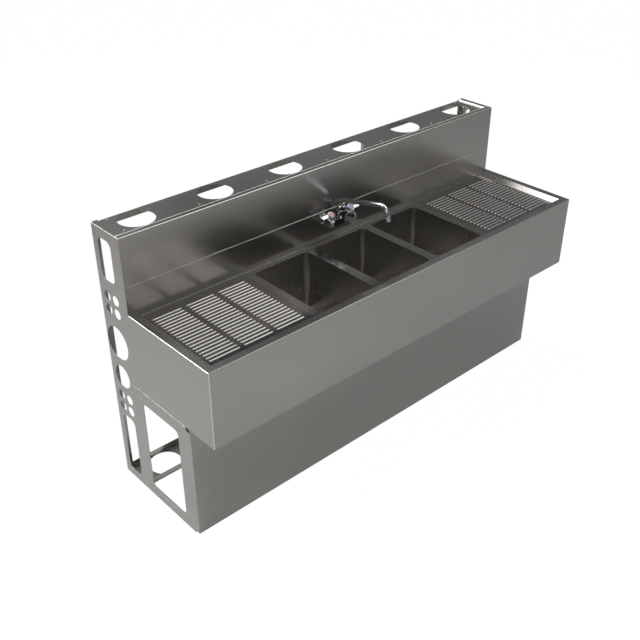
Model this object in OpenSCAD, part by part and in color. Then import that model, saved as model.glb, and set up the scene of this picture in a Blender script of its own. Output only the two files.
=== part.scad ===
// Underbar sink: three bowls between two beaded drainboards, on end panels,
// with a pipe chase behind the splash and a splash-mounted swing faucet.
// Millimetres. +X runs along the sink, +Y from the apron to the chase, +Z up.
// The origin is on the floor under the middle of the unit.

/* [Overall size] */
// Length over the two end panels
overall_l = 1829; // [1700:1:2000]
// Depth from the apron face to the back of the chase
overall_d = 602; // [596:1:620]
// Height of the end panels above the floor
overall_h = 1041; // [1034:1:1083]
// Height of the sink rim above the floor
rim_h = 763; // [758:1:768]
// Depth of the pipe chase behind the splash
chase_d = 164; // [162:1:168]
// Thickness of the stainless sheet
sheet_t = 1.5; // [1.2:0.1:2]
// Width of a stiffening flange
flange_w = 25; // [20:1:28]

/* [Rim and apron] */
// Width of the flat rim round the deck
rim_w = 30; // [26:1:34]
// Run of the slope from the rim down to the deck
slope_run = 15; // [11:1:18]
// Depth of the deck below the rim
deck_drop = 18; // [14:1:22]
// Height of the apron
apron_h = 293; // [288:1:300]
// Radius of the fillet weld between the deck and the splash
fillet_r = 4; // [3:0.5:6]
// Shadow gap between the apron and what stands below it
reveal = 1; // [0.5:0.1:2]

/* [Bowls] */
// Inside width of a bowl, along the sink
bowl_w = 254; // [240:1:266]
// Depth of a bowl below the deck
bowl_depth = 254; // [220:1:260]
// Inside corner radius of a bowl
bowl_r = 18; // [12:1:24]
// Width of the divider between two bowls
bowl_gap = 38; // [32:1:48]
// Distance from the apron face to the bowls
bowl_front = 56; // [53:1:60]
// Deck between the bowls and the splash
bowl_back = 28; // [24:1:42]
// Deck between the outer bowls and the seam of the drainboards
deck_seam = 28; // [20:1:34]

/* [Drainboards] */
// Length of a raised drain bead
bead_l = 117; // [105:1:125]
// Width of a bead at the board
bead_w = 9; // [7:0.5:11]
// Height of a bead above the board
bead_h = 2.5; // [2:0.1:3.5]
// Clear distance between bead columns
bead_gap = 16; // [12:1:20]
// Distance from one bead row to the next
bead_pitch = 17.5; // [15:0.5:20]
// Least distance from the end of a bead to the edge of the board
bead_edge = 11; // [9:1:15]
// Distance from the front of the board to the first bead row
bead_row_edge = 27; // [24:1:32]
// Least distance from the last bead row to the splash
bead_splash_edge = 47; // [40:1:56]
// Width of the stiffening channel under a drainboard
channel_w = 60; // [45:1:80]
// Height of the stiffening channel
channel_h = 25; // [18:1:35]

/* [Pipe chase] */
// Height of the splash seam above the rim
seam_h = 100; // [90:1:110]
// Width of the ledge on top of the splash, in front of the chase cap
cap_setback = 24; // [22:1:28]
// Depth that the chase cap lies below the ledge and the end panels
cap_drop = 4.5; // [3:0.5:6]
// Depth of the splash return that the cap is screwed to
return_d = 62; // [56:1:70]
// Height of the down-turned flange at the back of the cap
cap_flange = 25; // [18:1:30]
// Width of the end panel's flange beside the cap
cap_cover = 22; // [16:1:28]
// Diameter of the pipe holes in the cap and in the floor pan
cap_hole_d = 127; // [115:1:127]
// Distance from the end of the unit to the first pipe hole
cap_hole_edge = 127; // [115:1:140]
// Distance that the pipe holes are spaced near to
cap_hole_pitch = 315; // [280:5:350]
// Distance from the back of the chase to the line of its holes
service_back = 68; // [68:0.5:70]
// Distance from the splash to the front of the floor pan
pan_setback = 30; // [29:0.5:31]
// Width of the upright channels inside the chase
upright_w = 20; // [16:1:26]

/* [End panels] */
// Distance from the apron face to the front edge of the leg
leg_setback = 158; // [154:1:162]
// Length that the side apron runs on past the splash
notch_lap = 27; // [24:1:27]
// Width of the window between the leg and the chase
window_w = 206; // [190:1:212]
// Width of metal left round the window
window_edge = 50; // [44:1:56]
// Corner radius of the window
window_r = 18; // [10:1:25]
// Width of the tall slots
slot_w = 78; // [70:1:82]
// Height of the upper slot
upper_slot_h = 154; // [140:1:160]
// Distance from the top of the panel to the upper slot
upper_slot_edge = 37; // [33:1:43]
// Height of the lower slot
lower_slot_h = 254; // [230:1:258]
// Distance from the floor to the lower slot
lower_slot_edge = 36; // [32:1:42]
// Corner radius of the slots
slot_r = 24; // [14:1:30]
// Diameter of the small pipe holes
pipe_hole_d = 38; // [34:1:40]
// Spacing of the four small pipe holes in a group
pipe_pitch = 51; // [48:1:53]
// Place of the upper group of small pipe holes, as a share of the way from slot to slot
pipe_high_share = 0.84; // [0.83:0.005:0.85]
// Place of the lower group of small pipe holes, as a share of the way from slot to slot
pipe_low_share = 0.115; // [0.1:0.005:0.125]
// Diameter of the large port
port_d = 127; // [115:1:130]
// Place of the large port, as a share of the way from slot to slot
port_share = 0.57; // [0.56:0.005:0.58]
// Diameter of the small port
small_port_d = 90; // [82:1:94]
// Place of the small port, as a share of the way from slot to slot
small_port_share = 0.32; // [0.31:0.005:0.33]
// Diameter of the holes that join one unit to the next
join_hole_d = 6; // [5:0.5:8]

/* [Skirt] */
// Distance from the apron face to the skirt
skirt_setback = 134; // [130:1:138]
// Gap between the floor and the skirt
skirt_foot = 9; // [6:1:14]
// Height that the skirt's side returns stop short of its top
skirt_notch = 14; // [10:1:20]

/* [Drains] */
// Diameter of the drain hole in a bowl
drain_hole_d = 90; // [86:1:94]
// Diameter of the drain flange on the bowl floor
drain_flange_d = 112; // [108:1:118]
// Thickness of the drain flange
drain_flange_t = 2.5; // [2:0.1:3.5]
// Diameter of the lift-out strainer
strainer_d = 76; // [70:1:78]
// Depth of the drain cup below the bowl floor
cup_depth = 36; // [34:1:44]
// Outside diameter of the tailpiece
tailpiece_d = 38.1; // [36:0.1:40]
// Length of the tailpiece below the drain
tailpiece_l = 100; // [80:1:130]

/* [Faucet] */
// Distance between the hot and cold inlets
faucet_centres = 101.6; // [96:0.1:108]
// Height of the faucet inlets above the rim
faucet_rise = 69; // [66:1:74]
// Distance from the splash to the swivel of the spout
spout_standoff = 39; // [38:1:44]
// Lean of the valves towards the user, in degrees
valve_lean = 25; // [20:1:27]
// Diameter of a valve barrel
barrel_d = 34; // [33:1:36]
// Diameter of the spout boss in the middle
boss_d = 36; // [34:1:40]
// Outside diameter of the threaded inlet shank
shank_d = 20.9; // [20:0.1:22]
// Length of the shank behind the splash
shank_out = 48; // [44:1:55]
// Length of a lever from the valve stem
lever_l = 43; // [38:1:45]
// Diameter of the lever hub
hub_d = 26; // [24:1:28]
// Outside diameter of the spout tube
tube_d = 18; // [16:0.5:19]
// Reach of the spout from its swivel to its outlet
spout_reach = 239; // [190:1:260]
// Rise of the spout tube towards its outlet, in degrees
spout_rise = 14; // [8:1:20]
// Radius of the bend above the swivel
heel_r = 20; // [18:1:24]
// Radius of the bend before the outlet
toe_r = 38; // [30:1:44]

/* [Hidden] */
$fn = 48;

// Overrun of every cut
over = 2;
// Radial clearance of a turning fit
run_gap = 0.1;
// Clearance between parts that only sit near each other
free_gap = 0.3;

// Main planes
x_end = overall_l / 2;
y_front = -overall_d / 2;
y_back = overall_d / 2;
y_splash = y_back - chase_d;
y_service = y_back - service_back;
y_cap = y_splash + cap_setback;
y_pan = y_splash + pan_setback;
y_notch = y_splash + notch_lap;
y_leg = y_front + leg_setback;
y_skirt = y_front + skirt_setback;
z_deck = rim_h - deck_drop;
z_apron = rim_h - apron_h;
z_leg = z_apron - reveal;
z_cap = overall_h - cap_drop;
z_seam = rim_h + seam_h;
z_floor = z_deck - bowl_depth;
z_slot_low = lower_slot_edge + lower_slot_h;
z_slot_high = overall_h - upper_slot_edge - upper_slot_h;
board_edge = rim_w + slope_run;
x_board = x_end - board_edge;
y_board = y_front + board_edge;
bowl_l = overall_d - chase_d - bowl_front - bowl_back;
bowl_pitch = bowl_w + bowl_gap;
x_seam = bowl_pitch + bowl_w / 2 + deck_seam;
y_bowl = y_front + bowl_front + bowl_l / 2;
board_w = x_board - x_seam;
board_d = y_splash - y_board;

// Patterns
bead_cols = floor((board_w - 2 * bead_edge + bead_gap) / (bead_l + bead_gap));
bead_rows = floor((board_d - bead_row_edge - bead_splash_edge) / bead_pitch) + 1;
bead_sphere_r = (bead_w * bead_w / 4 + bead_h * bead_h) / (2 * bead_h);
cap_hole_span = overall_l - 2 * cap_hole_edge;
cap_hole_gaps = round(cap_hole_span / cap_hole_pitch);
cap_hole_step = cap_hole_span / cap_hole_gaps;
upright_shift = 10;
x_upright = x_end - cap_hole_edge - cap_hole_step * 3 / 2 - upright_shift;

// Screws that hold the cap to the splash return
cap_screw_d = 4;
cap_screw_head_d = 8;
cap_screw_l = 10;
cap_screw_edge = 55;
cap_screw_row = 49;
cap_screw_back = 12;
cap_screw_far_edge = 40;
cap_screw_count = cap_hole_gaps + 2;
cap_screw_step = (overall_l - cap_screw_edge - cap_screw_far_edge) / (cap_screw_count - 1);

// Holes that join one unit to the next
join_edge = 12;
join_rise = 34;
join_top = 37;
join_mid_y = 172;
join_mid_z = 430;
join_leg_y = 42;

// Brackets that tie the skirt to the end panels
bracket_t = 3;
bracket_leg = 30;
bracket_h = 40;
bracket_low = 60;
bracket_high = 380;

// Drain parts
drain_wall = 3;
drain_outlet_l = 14;
drain_seat_t = 1.5;
gasket_t = 3;
locknut_h = 9;
locknut_wall = 9;
lug_l = 5;
lug_w = 12;
tailpiece_wall = 1.6;
tailpiece_lip = 4;
tailpiece_lip_t = 3;
tailpiece_swell = 0.6;
tailpiece_swell_l = 12;
slip_nut_wall = 5;
slip_nut_h = 18;
strainer_t = 1.5;
strainer_ring_holes = [[15, 4], [26, 6]];
strainer_hole_count = 12;
strainer_knob_d = 14;
strainer_knob_h = 12;
z_outlet = z_floor - cup_depth - drain_outlet_l;

// Faucet parts, heights from the inlet axis
z_inlet = rim_h + faucet_rise;
x_valve = faucet_centres / 2;
y_spout = y_splash - spout_standoff;
valve_setback = 15;
y_valve = y_spout + valve_setback;
barrel_top = 18;
barrel_neck_d = 31;
barrel_shoulder = 3;
cavity_d = 18;
cavity_foot = 1;
block_w = 30;
block_front = 16;
block_back = 20;
block_top = 8;
block_slope_foot = 7;
block_slope_run = 10;
bar_front = 17;
bar_back = 12;
bar_top = 9;
arm_d = 28;
wall_flange_d = 46;
wall_flange_t = 7;
wall_flange_rim = 3;
shank_bore_d = 14;
shank_shoulder = 1.05;
shank_wide_d = shank_d + 2 * shank_shoulder;
shank_socket = 7;
splash_hole_gap = 0.8;
washer_d = 34;
washer_t = 2;
shank_nut_af = 32;
shank_nut_h = 10;
shank_spare = 2;
bonnet_af = 27;
bonnet_h = 6;
bonnet_skirt = 8;
bonnet_edge = 1.5;
cartridge_h = 11;
stem_d = 10;
stem_top = 32;
stem_foot = 2;
stem_bore_d = 5;
stem_bore_depth = 14;
hub_foot = 24.5;
hub_top = 34;
hub_recess = 3.4;
hub_wall = 3;
lever_root_w = 12;
lever_tip_w = 14;
lever_t = 5;
lever_rise = 26;
lever_droop = 4;
screw_head_d = 9;
screw_head_h = 2.6;
screw_d = 4.6;
screw_l = 11;
index_t = 2;
boss_top = 18;
spigot_d = 30;
spigot_h = 8;
spout_bore_d = 22;
spout_bore_foot = 2;
collar_d = 27;
collar_h = 5;
spout_neck_d = 20;
spout_tail_d = 16;
spout_tail_l = 24;
nut_d = 41;
nut_top = 36;
nut_lip = 4;
nut_sides = 12;
hub_sleeve_d = 34;
sleeve_top = 54;
sleeve_round = 3;
tube_wall = 1.5;
tube_stub = 3;
tube_lap = 1;
tube_draw = 0.06;
seal_r = 1.3;
seal_rise = 10;
aerator_d = 22;
aerator_h = 11;
aerator_bore_d = 13;

// Hexagon corner diameter for a width across flats
function corner_d(af) = af / cos(30);

// Rounded rectangle, centred
module rounded_rect(w, h, r) {
    square([w - 2 * r, h], center = true);
    square([w, h - 2 * r], center = true);
    for (sx = [-1, 1], sy = [-1, 1])
        translate([sx * (w / 2 - r), sy * (h / 2 - r)]) circle(r);
}

// Box from its low corner to its high corner
module block(low, high) {
    translate(low) cube(high - low);
}

// A (y, z) outline drawn out along +X from x0
module along_x(x0, len) {
    translate([x0, 0, 0]) rotate([90, 0, 90]) linear_extrude(height = len) children();
}

// An (x, z) outline drawn out along +Y from y0
module along_y(y0, len) {
    translate([0, y0 + len, 0]) rotate([90, 0, 0]) linear_extrude(height = len) children();
}

// Left hand piece as drawn, right hand piece mirrored
module handed(side) {
    if (side > 0) mirror([1, 0, 0]) children();
    else children();
}

// Straight tube with its foot at the origin
module tube(outer_d, inner_d, len) {
    difference() {
        cylinder(h = len, d = outer_d);
        translate([0, 0, -over]) cylinder(h = len + 2 * over, d = inner_d);
    }
}

// Height of an opening that stands a share of the way from the lower slot to the upper
function port_z(share) = z_slot_low + share * (z_slot_high - z_slot_low);

// Openings that line up through the end panels and the uprights, in (y, z)
module service_openings() {
    translate([y_service, overall_h - upper_slot_edge - upper_slot_h / 2])
        rounded_rect(slot_w, upper_slot_h, slot_r);
    translate([y_service, lower_slot_edge + lower_slot_h / 2])
        rounded_rect(slot_w, lower_slot_h, slot_r);
    translate([y_service, port_z(port_share)]) circle(d = port_d);
    translate([y_service, port_z(small_port_share)]) circle(d = small_port_d);
    for (share = [pipe_low_share, pipe_high_share], sy = [-1, 1], sz = [-1, 1])
        translate([y_service + sy * pipe_pitch / 2, port_z(share) + sz * pipe_pitch / 2])
            circle(d = pipe_hole_d);
}

// Small holes that join one unit to the next, in (y, z)
module joining_holes() {
    places = [
        [y_back - join_edge, overall_h - join_top],
        [y_back - join_edge, join_rise],
        [y_back - join_mid_y, join_mid_z],
        [y_back - join_mid_y, join_rise],
        [y_leg + join_leg_y, join_rise]
    ];
    for (p = places) translate(p) circle(d = join_hole_d);
}

// Panel at one end of the unit, with its leg, its window and its flanges
module end_panel(side) {
    window_h = z_leg - 2 * window_edge;
    handed(side) {
        along_x(-x_end, sheet_t) difference() {
            polygon([
                [y_back, 0], [y_leg, 0], [y_leg, z_leg], [y_notch, z_leg],
                [y_notch, rim_h], [y_splash, rim_h], [y_splash, overall_h],
                [y_back, overall_h]
            ]);
            service_openings();
            joining_holes();
            translate([y_leg + window_edge + window_w / 2, window_edge + window_h / 2])
                rounded_rect(window_w, window_h, window_r);
        }
        block([-x_end, y_back - sheet_t, 0], [flange_w - x_end, y_back, overall_h]);
        block([-x_end, y_cap, overall_h - sheet_t], [cap_cover - x_end, y_back, overall_h]);
        block([cap_cover - sheet_t - x_end, y_cap, z_cap], [cap_cover - x_end, y_back, overall_h]);
        block([-x_end, y_leg, 0], [flange_w - x_end, y_pan, sheet_t]);
        block([-x_end, y_leg, 0], [flange_w - x_end, y_leg + sheet_t, z_leg]);
        block([-x_end, y_leg, z_leg - sheet_t], [flange_w - x_end, y_notch, z_leg]);
    }
}

module end_panel_left() {
    color([0.62, 0.61, 0.60]) end_panel(-1);
}

module end_panel_right() {
    color([0.62, 0.61, 0.60]) end_panel(1);
}

// Row of pipe holes that the cap, the splash return and the floor pan share
module pipe_holes(z0, z1) {
    for (i = [0 : cap_hole_gaps])
        translate([cap_hole_edge - x_end + i * cap_hole_step, y_service, z0])
            cylinder(h = z1 - z0, d = cap_hole_d);
}

// Places of the cap screws: one row along the return, two at the back corners
function cap_screw_places() = concat(
    [for (k = [0 : cap_screw_count - 1])
        [cap_screw_edge - x_end + k * cap_screw_step, y_splash + cap_screw_row]],
    [for (s = [-1, 1]) [s * (x_end - cap_screw_edge), y_back - cap_screw_back]]
);

// Clearance holes for the cap screws
module cap_screw_holes(z0, z1) {
    for (p = cap_screw_places())
        translate([p[0], p[1], z0]) cylinder(h = z1 - z0, d = cap_screw_d + 2 * free_gap);
}

// Lid of the chase: a sheet with pipe holes and a flange down the back
module chase_cap() {
    color([0.55, 0.54, 0.53]) difference() {
        union() {
            block([sheet_t - x_end, y_cap, z_cap - sheet_t],
                [x_end - sheet_t, y_back - sheet_t, z_cap]);
            block([flange_w + reveal - x_end, y_back - sheet_t, z_cap - cap_flange],
                [x_end - flange_w - reveal, y_back, z_cap]);
        }
        pipe_holes(z_cap - sheet_t - over, z_cap + over);
        cap_screw_holes(z_cap - sheet_t - over, z_cap + over);
    }
}

// Floor pan of the chase, with a flange up the front and the back
module chase_floor() {
    color([0.40, 0.39, 0.38]) difference() {
        union() {
            block([sheet_t - x_end, y_pan, 0], [x_end - sheet_t, y_back - sheet_t, sheet_t]);
            block([sheet_t - x_end, y_pan, 0], [x_end - sheet_t, y_pan + sheet_t, flange_w]);
            block([sheet_t - x_end, y_back - 2 * sheet_t, 0],
                [x_end - sheet_t, y_back - sheet_t, flange_w]);
        }
        pipe_holes(-over, sheet_t + over);
    }
}

// Upright channel in the chase, with the same openings as the end panels
module chase_upright(side) {
    x0 = -x_upright - upright_w / 2;
    y0 = y_cap;
    y1 = y_back - 2 * sheet_t;
    z1 = z_cap - 2 * sheet_t;
    difference() {
        handed(side) {
            along_x(x0 + upright_w - sheet_t, sheet_t) difference() {
                polygon([
                    [y0, flange_w], [y_pan + sheet_t, flange_w], [y_pan + sheet_t, sheet_t],
                    [y1, sheet_t], [y1, z1], [y0, z1]
                ]);
                service_openings();
            }
            block([x0, y1 - sheet_t, sheet_t], [x0 + upright_w, y1, z1]);
            block([x0, y0, flange_w], [x0 + upright_w, y0 + sheet_t, z1]);
        }
        cap_screw_holes(z_cap - cap_screw_l - over, z_cap);
    }
}

module chase_upright_left() {
    color([0.50, 0.49, 0.48]) chase_upright(-1);
}

module chase_upright_right() {
    color([0.50, 0.49, 0.48]) chase_upright(1);
}

// Upper splash sheet: a ledge at its top, then a sunk return that carries the cap
module splash_upper() {
    x1 = x_end - sheet_t;
    color([0.36, 0.35, 0.34]) difference() {
        union() {
            block([-x1, y_splash, z_seam], [x1, y_splash + sheet_t, overall_h]);
            block([-x1, y_splash, overall_h - sheet_t], [x1, y_cap, overall_h]);
            block([-x1, y_cap - sheet_t, z_cap - 2 * sheet_t], [x1, y_cap, overall_h]);
            block([-x1, y_cap - sheet_t, z_cap - 2 * sheet_t],
                [x1, y_splash + return_d, z_cap - sheet_t]);
            block([-x1, y_splash, z_seam], [x1, y_cap, z_seam + sheet_t]);
        }
        pipe_holes(z_cap - 2 * sheet_t - over, z_cap + over);
        cap_screw_holes(z_cap - 2 * sheet_t - over, z_cap + over);
    }
}

// Lower splash sheet, with the fillet that welds it to the deck
module splash_lower() {
    x1 = x_end - sheet_t;
    color([0.34, 0.33, 0.32]) {
        difference() {
            union() {
                block([-x1, y_splash, z_deck - sheet_t], [x1, y_splash + sheet_t, z_seam]);
                block([-x1, y_splash, z_seam - sheet_t], [x1, y_cap, z_seam]);
            }
            for (s = [-1, 1])
                translate([s * x_valve, y_splash - over, z_inlet]) rotate([-90, 0, 0])
                    cylinder(h = sheet_t + 2 * over, d = shank_wide_d + 2 * splash_hole_gap);
        }
        along_x(-x_board, 2 * x_board) difference() {
            translate([y_splash - fillet_r, z_deck]) square([fillet_r + sheet_t, fillet_r]);
            translate([y_splash - fillet_r, z_deck + fillet_r]) circle(fillet_r);
        }
    }
}

// One raised bead along X, drawn as the top of a buried capsule
module bead_capsule() {
    reach = bead_l / 2 - bead_w / 2;
    drop = bead_sphere_r - bead_h;
    translate([0, 0, -drop]) {
        rotate([0, 90, 0]) cylinder(h = 2 * reach, r = bead_sphere_r, center = true);
        for (s = [-1, 1]) translate([s * reach, 0, 0]) sphere(bead_sphere_r);
    }
}

// Drainboard with its rows and columns of beads
module drainboard(side) {
    block_w = bead_cols * (bead_l + bead_gap) - bead_gap;
    handed(side) {
        block([-x_board, y_board, z_deck - sheet_t], [-x_seam, y_splash, z_deck]);
        intersection() {
            translate([bead_edge - x_board, y_board + bead_row_edge, z_deck])
                for (i = [0 : bead_cols - 1], j = [0 : bead_rows - 1])
                    translate([bead_l / 2 + i * (bead_l + bead_gap), j * bead_pitch, 0])
                        bead_capsule();
            translate([bead_edge - x_board - over, y_board, z_deck])
                cube([block_w + 2 * over, board_d, bead_h + over]);
        }
    }
}

module drainboard_left() {
    color([0.46, 0.45, 0.44]) drainboard(-1);
}

module drainboard_right() {
    color([0.46, 0.45, 0.44]) drainboard(1);
}

// Places of the three bowls
function bowl_x(i) = i * bowl_pitch;

// Deck between the drainboards, cut out for the bowls
module bowl_deck() {
    color([0.44, 0.43, 0.42])
        translate([0, 0, z_deck - sheet_t]) linear_extrude(height = sheet_t) difference() {
            translate([-x_seam, y_board]) square([2 * x_seam, y_splash - y_board]);
            for (i = [-1, 0, 1])
                translate([bowl_x(i), y_bowl]) rounded_rect(bowl_w, bowl_l, bowl_r);
        }
}

// Folded outline of the rim and apron: u is the distance in from the outer face
module rim_outline() {
    polygon([
        [0, z_apron], [flange_w, z_apron], [flange_w, z_apron + sheet_t],
        [sheet_t, z_apron + sheet_t], [sheet_t, rim_h - sheet_t],
        [rim_w - sheet_t / 2, rim_h - sheet_t],
        [board_edge - sheet_t / 2, z_deck - sheet_t], [board_edge, z_deck - sheet_t],
        [board_edge, z_deck], [rim_w, rim_h], [0, rim_h]
    ]);
}

// Front apron with its rim, mitred into the side aprons
module front_apron() {
    color([0.52, 0.51, 0.50]) intersection() {
        along_x(-x_end, overall_l) translate([y_front, 0]) rim_outline();
        linear_extrude(height = overall_h) polygon([
            [-x_end, y_front], [x_end, y_front],
            [x_end - board_edge, y_board], [board_edge - x_end, y_board]
        ]);
    }
}

// Side apron with its rim, and a plain tail that runs on beside the chase
module side_apron(side) {
    handed(side) {
        intersection() {
            along_y(y_front, y_splash - y_front) translate([-x_end, 0]) rim_outline();
            linear_extrude(height = overall_h) polygon([
                [-x_end, y_front], [board_edge - x_end, y_board],
                [board_edge - x_end, y_splash], [-x_end, y_splash]
            ]);
        }
        block([-x_end, y_splash, z_apron], [sheet_t - x_end, y_notch, rim_h]);
        block([-x_end, y_splash, z_apron], [flange_w - x_end, y_notch, z_apron + sheet_t]);
    }
}

module side_apron_left() {
    color([0.60, 0.59, 0.58]) side_apron(-1);
}

module side_apron_right() {
    color([0.60, 0.59, 0.58]) side_apron(1);
}

// Box with round upright corners and a coved foot, centred in plan, foot at z = 0
module coved_box(w, l, h, r) {
    for (sx = [-1, 1], sy = [-1, 1])
        translate([sx * (w / 2 - r), sy * (l / 2 - r), r]) {
            sphere(r);
            cylinder(h = h - r, r = r);
        }
    for (sy = [-1, 1])
        translate([0, sy * (l / 2 - r), r]) rotate([0, 90, 0])
            cylinder(h = w - 2 * r, r = r, center = true);
    for (sx = [-1, 1])
        translate([sx * (w / 2 - r), 0, r]) rotate([90, 0, 0])
            cylinder(h = l - 2 * r, r = r, center = true);
    translate([0, 0, h / 2]) cube([w - 2 * r, l - 2 * r, h], center = true);
    translate([0, 0, (h + r) / 2]) cube([w, l - 2 * r, h - r], center = true);
    translate([0, 0, (h + r) / 2]) cube([w - 2 * r, l, h - r], center = true);
}

// Bowl hung under the deck, with its drain hole
module bowl(i) {
    wall_h = bowl_depth - sheet_t;
    translate([bowl_x(i), y_bowl, z_floor]) difference() {
        translate([0, 0, -sheet_t])
            coved_box(bowl_w + 2 * sheet_t, bowl_l + 2 * sheet_t, wall_h + sheet_t,
                bowl_r + sheet_t);
        coved_box(bowl_w, bowl_l, wall_h + over, bowl_r);
        translate([0, 0, -sheet_t - over]) cylinder(h = sheet_t + 2 * over, d = drain_hole_d);
    }
}

module bowl_left() {
    color([0.42, 0.41, 0.40]) bowl(-1);
}

module bowl_middle() {
    color([0.42, 0.41, 0.40]) bowl(0);
}

module bowl_right() {
    color([0.42, 0.41, 0.40]) bowl(1);
}

// Channel under a drainboard, open side down, from the front rim to the splash
module deck_channel(side) {
    x0 = -(x_board + x_seam) / 2 - channel_w / 2;
    z1 = z_deck - sheet_t;
    handed(side) along_y(y_board + sheet_t, y_splash - y_board - 2 * sheet_t) polygon([
        [x0, z1], [x0, z1 - channel_h], [x0 + sheet_t, z1 - channel_h],
        [x0 + sheet_t, z1 - sheet_t], [x0 + channel_w - sheet_t, z1 - sheet_t],
        [x0 + channel_w - sheet_t, z1 - channel_h], [x0 + channel_w, z1 - channel_h],
        [x0 + channel_w, z1]
    ]);
}

module deck_channel_left() {
    color([0.50, 0.50, 0.50]) deck_channel(-1);
}

module deck_channel_right() {
    color([0.50, 0.50, 0.50]) deck_channel(1);
}

// Skirt panel under the apron: its side returns leave a notch at their top
module skirt_panel() {
    color([0.45, 0.44, 0.43]) {
        block([-x_end, y_skirt, skirt_foot], [x_end, y_skirt + sheet_t, z_leg]);
        block([flange_w - x_end, y_skirt, z_leg - sheet_t],
            [x_end - flange_w, y_skirt + flange_w, z_leg]);
        block([flange_w - x_end, y_skirt, skirt_foot],
            [x_end - flange_w, y_skirt + flange_w, skirt_foot + sheet_t]);
        for (s = [0, 1]) mirror([s, 0, 0])
            block([-x_end, y_skirt, skirt_foot], [sheet_t - x_end, y_leg, z_leg - skirt_notch]);
    }
}

// Angle brackets that tie the skirt to the flange of the end panels
module skirt_brackets() {
    color([0.50, 0.50, 0.50]) for (s = [0, 1], z = [bracket_low, bracket_high]) mirror([s, 0, 0]) {
        block([sheet_t - x_end, y_skirt + sheet_t, z],
            [sheet_t + bracket_leg - x_end, y_skirt + sheet_t + bracket_t, z + bracket_h]);
        block([sheet_t - x_end, y_skirt + sheet_t, z],
            [sheet_t + bracket_t - x_end, y_leg, z + bracket_h]);
    }
}

// Pan head screws through the cap and the splash return
module cap_screws() {
    color([0.75, 0.75, 0.75]) for (p = cap_screw_places()) translate([p[0], p[1], z_cap]) {
        cylinder(h = sheet_t, d = cap_screw_head_d);
        translate([0, 0, -cap_screw_l]) cylinder(h = cap_screw_l, d = cap_screw_d);
    }
}

// Drain body: a flange on the bowl floor, a cup below it and a narrow outlet
module drain_flange(i) {
    cup_r = drain_hole_d / 2 - free_gap;
    cup_in = cup_r - drain_wall;
    out_r = tailpiece_d / 2 + drain_wall;
    out_in = tailpiece_d / 2 - tailpiece_wall;
    seat_in = strainer_d / 2 - drain_wall;
    translate([bowl_x(i), y_bowl, z_floor]) rotate_extrude() polygon([
        [cup_in, drain_flange_t], [drain_flange_d / 2 - drain_flange_t, drain_flange_t],
        [drain_flange_d / 2, 0], [cup_r, 0], [cup_r, -cup_depth], [out_r, -cup_depth],
        [out_r, -cup_depth - drain_outlet_l], [out_in, -cup_depth - drain_outlet_l],
        [out_in, drain_wall - cup_depth], [cup_in, drain_wall - cup_depth],
        [cup_in, -drain_seat_t - strainer_t], [seat_in, -drain_seat_t - strainer_t],
        [seat_in, -strainer_t], [cup_in, -strainer_t]
    ]);
}

module drain_flange_left() {
    color([0.70, 0.70, 0.70]) drain_flange(-1);
}

module drain_flange_middle() {
    color([0.70, 0.70, 0.70]) drain_flange(0);
}

module drain_flange_right() {
    color([0.70, 0.70, 0.70]) drain_flange(1);
}

// Perforated strainer plate that lifts out by its knob
module strainer(i) {
    plate_foot = free_gap - strainer_t;
    translate([bowl_x(i), y_bowl, z_floor + plate_foot]) {
        difference() {
            cylinder(h = strainer_t, d = strainer_d);
            for (ring = strainer_ring_holes, k = [0 : strainer_hole_count - 1])
                rotate([0, 0, k * 360 / strainer_hole_count]) translate([ring[0], 0, -over])
                    cylinder(h = strainer_t + 2 * over, d = ring[1]);
        }
        translate([0, 0, strainer_t]) rotate_extrude() polygon([
            [0, 0], [strainer_knob_d / 4, 0], [strainer_knob_d / 4, strainer_knob_h / 2],
            [strainer_knob_d / 2, strainer_knob_h * 3 / 4], [strainer_knob_d / 2, strainer_knob_h],
            [0, strainer_knob_h]
        ]);
    }
}

module strainer_left() {
    color([0.75, 0.75, 0.75]) strainer(-1);
}

module strainer_middle() {
    color([0.75, 0.75, 0.75]) strainer(0);
}

module strainer_right() {
    color([0.75, 0.75, 0.75]) strainer(1);
}

// Tailpiece: a thin tube, swelled inside the slip nut, with a lip that the nut pulls on
module tailpiece(i) {
    inner_d = tailpiece_d - 2 * tailpiece_wall;
    translate([bowl_x(i), y_bowl, z_outlet - tailpiece_l]) tube(tailpiece_d, inner_d, tailpiece_l);
    translate([bowl_x(i), y_bowl, z_outlet - tailpiece_swell_l])
        tube(tailpiece_d + 2 * tailpiece_swell, inner_d, tailpiece_swell_l);
    translate([bowl_x(i), y_bowl, z_outlet - tailpiece_lip_t])
        tube(tailpiece_d + tailpiece_lip, tailpiece_d, tailpiece_lip_t);
}

module tailpiece_left() {
    color([0.78, 0.78, 0.78]) tailpiece(-1);
}

module tailpiece_middle() {
    color([0.78, 0.78, 0.78]) tailpiece(0);
}

module tailpiece_right() {
    color([0.78, 0.78, 0.78]) tailpiece(1);
}

// Rubber rings between the bowls and the drain locknuts
module drain_gaskets() {
    color([0.12, 0.12, 0.12]) for (i = [-1, 0, 1])
        translate([bowl_x(i), y_bowl, z_floor - sheet_t - gasket_t])
            tube(drain_flange_d, drain_hole_d, gasket_t);
}

// Lugged locknuts that clamp the drains to the bowls
module drain_locknuts() {
    color([0.72, 0.66, 0.48]) for (i = [-1, 0, 1])
        translate([bowl_x(i), y_bowl, z_floor - sheet_t - gasket_t - locknut_h]) difference() {
            union() {
                cylinder(h = locknut_h, d = drain_hole_d + 2 * locknut_wall);
                for (k = [0 : 2]) rotate([0, 0, k * 60])
                    translate([0, 0, locknut_h / 2])
                        cube([drain_hole_d + 2 * locknut_wall + 2 * lug_l, lug_w, locknut_h],
                            center = true);
            }
            translate([0, 0, -over]) cylinder(h = locknut_h + 2 * over, d = drain_hole_d);
        }
}

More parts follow.
